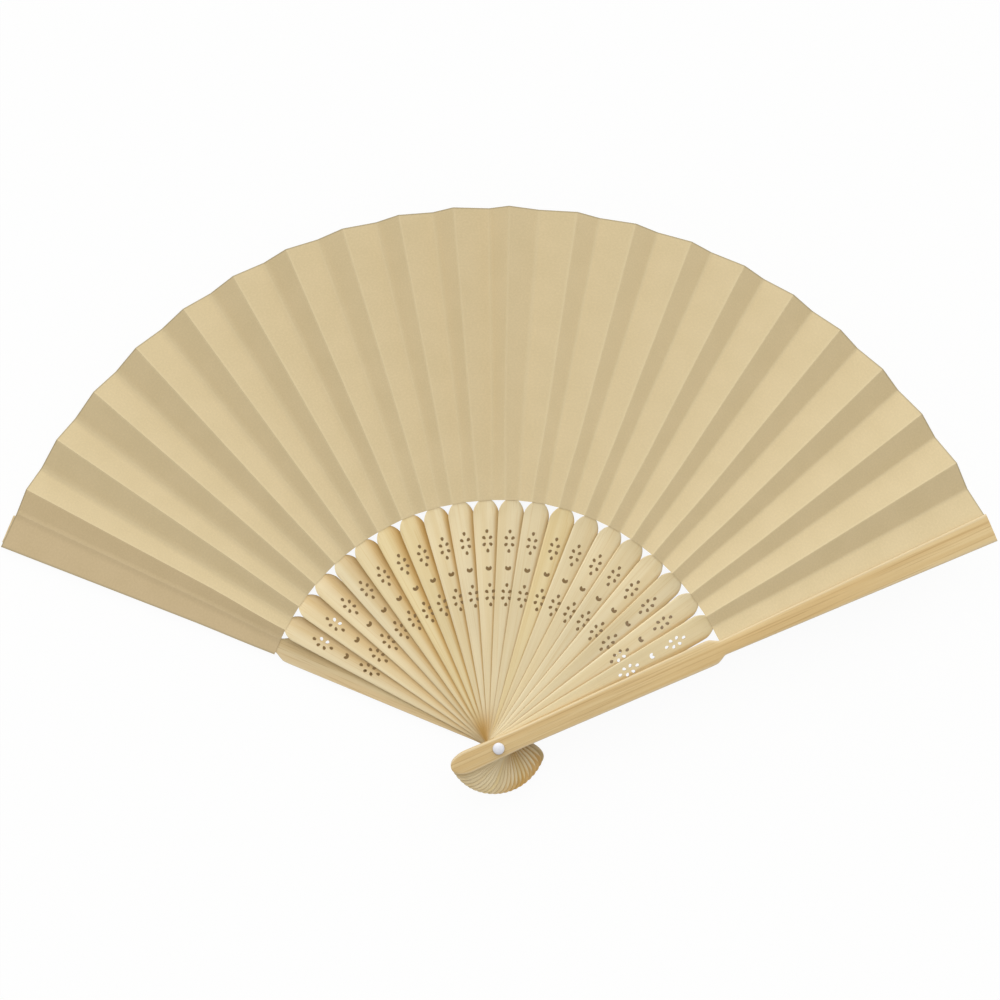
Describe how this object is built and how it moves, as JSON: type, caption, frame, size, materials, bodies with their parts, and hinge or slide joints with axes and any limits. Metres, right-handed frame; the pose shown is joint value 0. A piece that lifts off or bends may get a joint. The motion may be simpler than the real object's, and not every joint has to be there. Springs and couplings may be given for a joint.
{
  "type": "folding hand fan",
  "caption": "Folding hand fan, open: pierced bamboo ribs between two plain bamboo guards, a pleated paper leaf, and one plastic rivet that all the sticks turn on.",
  "frame": {"origin": "on the rivet's axis, in the flat underside of the rivet's back head, which is the fan's lowest point", "axes": "+Z along the rivet's axis from the back guard to the front guard; +Y along the middle of the open leaf; +X towards the front guard's side"},
  "size_m": [0.3542, 0.2095, 0.022],
  "materials": {
    "rib_bamboo": "satin, pale split bamboo with fine lengthwise grain",
    "guard_bamboo": "satin, darker bamboo with long grain streaks",
    "leaf_paper": "matt, plain beige",
    "rivet_plastic": "white, slightly glossy"
  },
  "bodies": {
    "back_guard": {"back_guard": "guard_bamboo", "leaf_pleat_00": "leaf_paper", "rivet_pin": "rivet_plastic", "rivet_cap": "rivet_plastic"},
    "rib_01": {"rib_01": "rib_bamboo", "leaf_pleat_01": "leaf_paper"},
    "rib_02": {"rib_02": "rib_bamboo", "leaf_pleat_02": "leaf_paper"},
    "rib_03": {"rib_03": "rib_bamboo", "leaf_pleat_03": "leaf_paper"},
    "rib_04": {"rib_04": "rib_bamboo", "leaf_pleat_04": "leaf_paper"},
    "rib_05": {"rib_05": "rib_bamboo", "leaf_pleat_05": "leaf_paper"},
    "rib_06": {"rib_06": "rib_bamboo", "leaf_pleat_06": "leaf_paper"},
    "rib_07": {"rib_07": "rib_bamboo", "leaf_pleat_07": "leaf_paper"},
    "rib_08": {"rib_08": "rib_bamboo", "leaf_pleat_08": "leaf_paper"},
    "rib_09": {"rib_09": "rib_bamboo", "leaf_pleat_09": "leaf_paper"},
    "rib_10": {"rib_10": "rib_bamboo", "leaf_pleat_10": "leaf_paper"},
    "rib_11": {"rib_11": "rib_bamboo", "leaf_pleat_11": "leaf_paper"},
    "rib_12": {"rib_12": "rib_bamboo", "leaf_pleat_12": "leaf_paper"},
    "rib_13": {"rib_13": "rib_bamboo", "leaf_pleat_13": "leaf_paper"},
    "rib_14": {"rib_14": "rib_bamboo", "leaf_pleat_14": "leaf_paper"},
    "rib_15": {"rib_15": "rib_bamboo", "leaf_pleat_15": "leaf_paper"},
    "rib_16": {"rib_16": "rib_bamboo", "leaf_pleat_16": "leaf_paper"},
    "rib_17": {"rib_17": "rib_bamboo", "leaf_pleat_17": "leaf_paper"},
    "rib_18": {"rib_18": "rib_bamboo", "leaf_pleat_18": "leaf_paper"},
    "rib_19": {"rib_19": "rib_bamboo", "leaf_pleat_19": "leaf_paper"},
    "rib_20": {"rib_20": "rib_bamboo", "leaf_pleat_20": "leaf_paper"},
    "front_guard": {"front_guard": "guard_bamboo", "leaf_end_panel": "leaf_paper"}
  },
  "joints": [
    {"name": "fold_01", "type": "hinge", "parent": "back_guard", "child": "rib_01", "pos_m": [0, 0, 0], "axis": [0, 0, 1], "range_deg": [0, 6.29], "deforming": ["leaf_pleat_00"]},
    {"name": "fold_02", "type": "hinge", "parent": "rib_01", "child": "rib_02", "pos_m": [0, 0, 0], "axis": [0, 0, 1], "range_deg": [0, 6.29], "deforming": ["leaf_pleat_01"]},
    {"name": "fold_03", "type": "hinge", "parent": "rib_02", "child": "rib_03", "pos_m": [0, 0, 0], "axis": [0, 0, 1], "range_deg": [0, 6.29], "deforming": ["leaf_pleat_02"]},
    {"name": "fold_04", "type": "hinge", "parent": "rib_03", "child": "rib_04", "pos_m": [0, 0, 0], "axis": [0, 0, 1], "range_deg": [0, 6.29], "deforming": ["leaf_pleat_03"]},
    {"name": "fold_05", "type": "hinge", "parent": "rib_04", "child": "rib_05", "pos_m": [0, 0, 0], "axis": [0, 0, 1], "range_deg": [0, 6.29], "deforming": ["leaf_pleat_04"]},
    {"name": "fold_06", "type": "hinge", "parent": "rib_05", "child": "rib_06", "pos_m": [0, 0, 0], "axis": [0, 0, 1], "range_deg": [0, 6.29], "deforming": ["leaf_pleat_05"]},
    {"name": "fold_07", "type": "hinge", "parent": "rib_06", "child": "rib_07", "pos_m": [0, 0, 0], "axis": [0, 0, 1], "range_deg": [0, 6.29], "deforming": ["leaf_pleat_06"]},
    {"name": "fold_08", "type": "hinge", "parent": "rib_07", "child": "rib_08", "pos_m": [0, 0, 0], "axis": [0, 0, 1], "range_deg": [0, 6.29], "deforming": ["leaf_pleat_07"]},
    {"name": "fold_09", "type": "hinge", "parent": "rib_08", "child": "rib_09", "pos_m": [0, 0, 0], "axis": [0, 0, 1], "range_deg": [0, 6.29], "deforming": ["leaf_pleat_08"]},
    {"name": "fold_10", "type": "hinge", "parent": "rib_09", "child": "rib_10", "pos_m": [0, 0, 0], "axis": [0, 0, 1], "range_deg": [0, 6.29], "deforming": ["leaf_pleat_09"]},
    {"name": "fold_11", "type": "hinge", "parent": "rib_10", "child": "rib_11", "pos_m": [0, 0, 0], "axis": [0, 0, 1], "range_deg": [0, 6.29], "deforming": ["leaf_pleat_10"]},
    {"name": "fold_12", "type": "hinge", "parent": "rib_11", "child": "rib_12", "pos_m": [0, 0, 0], "axis": [0, 0, 1], "range_deg": [0, 6.29], "deforming": ["leaf_pleat_11"]},
    {"name": "fold_13", "type": "hinge", "parent": "rib_12", "child": "rib_13", "pos_m": [0, 0, 0], "axis": [0, 0, 1], "range_deg": [0, 6.29], "deforming": ["leaf_pleat_12"]},
    {"name": "fold_14", "type": "hinge", "parent": "rib_13", "child": "rib_14", "pos_m": [0, 0, 0], "axis": [0, 0, 1], "range_deg": [0, 6.29], "deforming": ["leaf_pleat_13"]},
    {"name": "fold_15", "type": "hinge", "parent": "rib_14", "child": "rib_15", "pos_m": [0, 0, 0], "axis": [0, 0, 1], "range_deg": [0, 6.29], "deforming": ["leaf_pleat_14"]},
    {"name": "fold_16", "type": "hinge", "parent": "rib_15", "child": "rib_16", "pos_m": [0, 0, 0], "axis": [0, 0, 1], "range_deg": [0, 6.29], "deforming": ["leaf_pleat_15"]},
    {"name": "fold_17", "type": "hinge", "parent": "rib_16", "child": "rib_17", "pos_m": [0, 0, 0], "axis": [0, 0, 1], "range_deg": [0, 6.29], "deforming": ["leaf_pleat_16"]},
    {"name": "fold_18", "type": "hinge", "parent": "rib_17", "child": "rib_18", "pos_m": [0, 0, 0], "axis": [0, 0, 1], "range_deg": [0, 6.29], "deforming": ["leaf_pleat_17"]},
    {"name": "fold_19", "type": "hinge", "parent": "rib_18", "child": "rib_19", "pos_m": [0, 0, 0], "axis": [0, 0, 1], "range_deg": [0, 6.29], "deforming": ["leaf_pleat_18"]},
    {"name": "fold_20", "type": "hinge", "parent": "rib_19", "child": "rib_20", "pos_m": [0, 0, 0], "axis": [0, 0, 1], "range_deg": [0, 6.29], "deforming": ["leaf_pleat_19"]},
    {"name": "fold_21", "type": "hinge", "parent": "rib_20", "child": "front_guard", "pos_m": [0, 0, 0], "axis": [0, 0, 1], "range_deg": [0, 6.29], "deforming": ["leaf_pleat_20"]}
  ],
  "couplings": [
    {"joint": "fold_02", "follows": "fold_01", "ratio": 1},
    {"joint": "fold_03", "follows": "fold_01", "ratio": 1},
    {"joint": "fold_04", "follows": "fold_01", "ratio": 1},
    {"joint": "fold_05", "follows": "fold_01", "ratio": 1},
    {"joint": "fold_06", "follows": "fold_01", "ratio": 1},
    {"joint": "fold_07", "follows": "fold_01", "ratio": 1},
    {"joint": "fold_08", "follows": "fold_01", "ratio": 1},
    {"joint": "fold_09", "follows": "fold_01", "ratio": 1},
    {"joint": "fold_10", "follows": "fold_01", "ratio": 1},
    {"joint": "fold_11", "follows": "fold_01", "ratio": 1},
    {"joint": "fold_12", "follows": "fold_01", "ratio": 1},
    {"joint": "fold_13", "follows": "fold_01", "ratio": 1},
    {"joint": "fold_14", "follows": "fold_01", "ratio": 1},
    {"joint": "fold_15", "follows": "fold_01", "ratio": 1},
    {"joint": "fold_16", "follows": "fold_01", "ratio": 1},
    {"joint": "fold_17", "follows": "fold_01", "ratio": 1},
    {"joint": "fold_18", "follows": "fold_01", "ratio": 1},
    {"joint": "fold_19", "follows": "fold_01", "ratio": 1},
    {"joint": "fold_20", "follows": "fold_01", "ratio": 1},
    {"joint": "fold_21", "follows": "fold_01", "ratio": 1}
  ]
}
